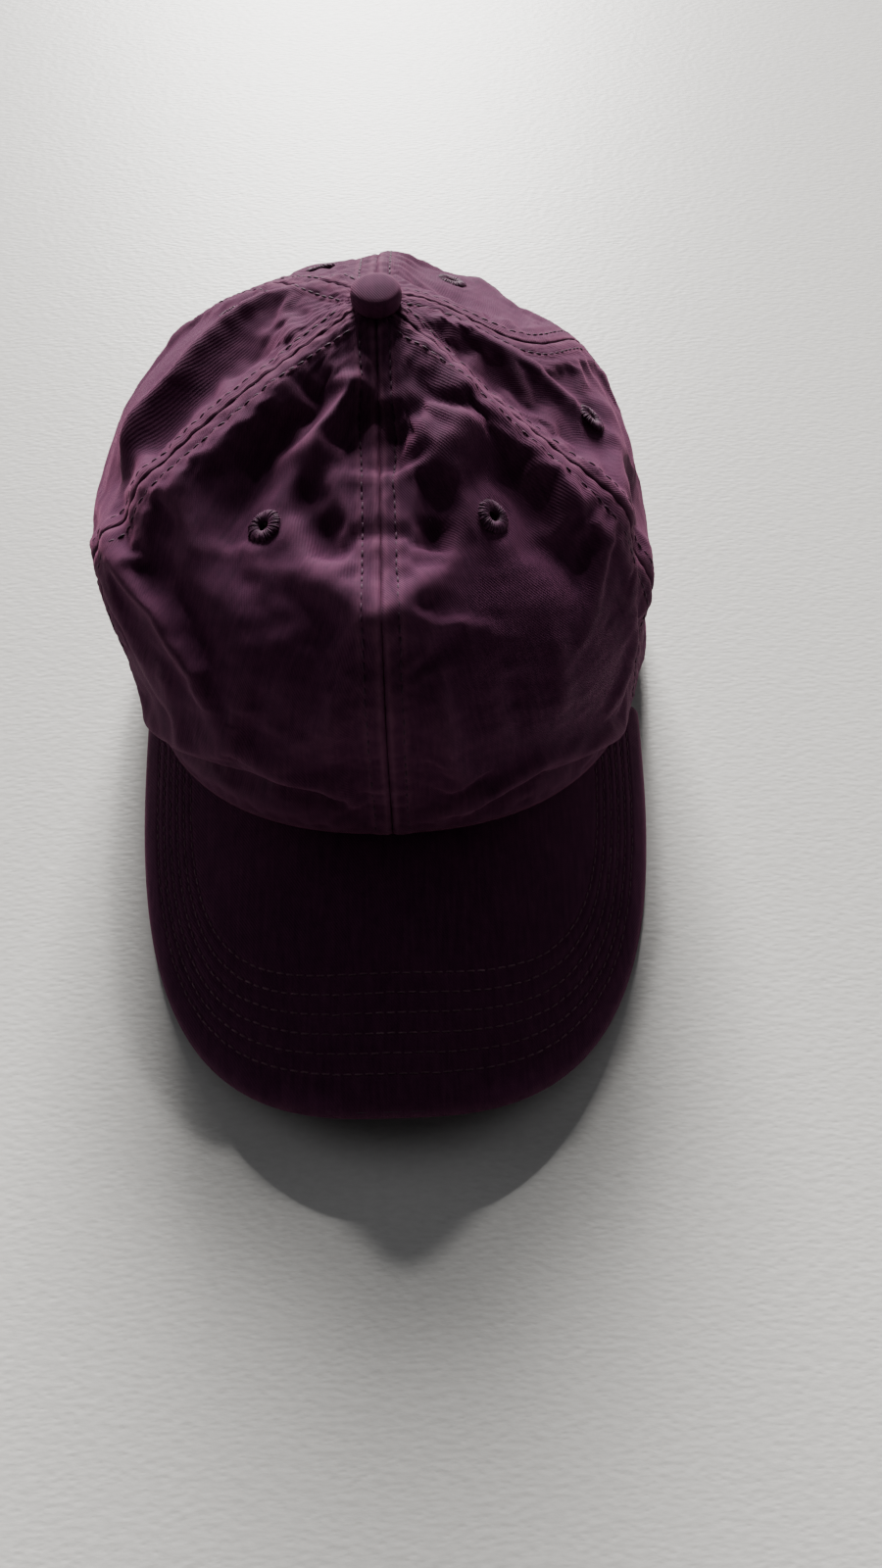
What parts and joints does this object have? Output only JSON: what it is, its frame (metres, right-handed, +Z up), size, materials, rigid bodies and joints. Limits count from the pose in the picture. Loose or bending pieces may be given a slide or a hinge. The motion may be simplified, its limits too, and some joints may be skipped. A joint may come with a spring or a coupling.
{
  "type": "cap",
  "caption": "Soft six-panel cotton cap with an arched stitched visor, sewn vent eyelets, a covered top button and a back strap with a hinged clamp buckle.",
  "frame": {"origin": "middle of the cap's footprint, on the surface that it rests on", "axes": "+Z up, the visor points along -Y, +X is the wearer's left"},
  "size_m": [0.1676, 0.2631, 0.1232],
  "materials": {
    "plum_twill": "washed cotton twill, soft and matte",
    "plum_thread": "close satin stitches in matching thread",
    "seam_tape": "plain cotton tape",
    "padding": "non-woven interlining",
    "label": "blank woven satin label",
    "steel": "pressed sheet",
    "board": "polyethylene sheet, sealed inside the visor",
    "brass": "antique brass, satin"
  },
  "bodies": {
    "cap": {"front_panel_left": "plum_twill", "front_panel_right": "plum_twill", "side_panel_left": "plum_twill", "side_panel_right": "plum_twill", "back_panel_left": "plum_twill", "back_panel_right": "plum_twill", "eyelet_front_left": "plum_thread", "eyelet_front_right": "plum_thread", "eyelet_side_left": "plum_thread", "eyelet_side_right": "plum_thread", "eyelet_back_left": "plum_thread", "eyelet_back_right": "plum_thread", "seam_tape_front": "seam_tape", "seam_tape_back": "seam_tape", "seam_tape_front_left": "seam_tape", "seam_tape_front_right": "seam_tape", "seam_tape_back_left": "seam_tape", "seam_tape_back_right": "seam_tape", "button_cover": "plum_twill", "button_shell": "steel", "button_rivet": "steel", "sweatband": "plum_twill", "sweatband_padding": "padding", "care_label": "label", "visor_top_cloth": "plum_twill", "visor_board": "board", "visor_under_cloth": "plum_twill", "back_opening_binding": "plum_twill", "buckle_frame": "brass", "buckle_pin": "brass", "buckle_tab": "plum_twill"},
    "strap": {"strap": "plum_twill"},
    "lever": {"buckle_lever": "brass"}
  },
  "joints": [
    {"name": "strap_adjust", "type": "hinge", "parent": "cap", "child": "strap", "pos_m": [0, 0.04445, 0.014], "axis": [0, 0, 1], "range_deg": [-12, 12]},
    {"name": "buckle_lever_open", "type": "hinge", "parent": "cap", "child": "lever", "pos_m": [0.00716, 0.12634, 0.014], "axis": [0, 0, 1], "range_deg": [0, 100]}
  ]
}
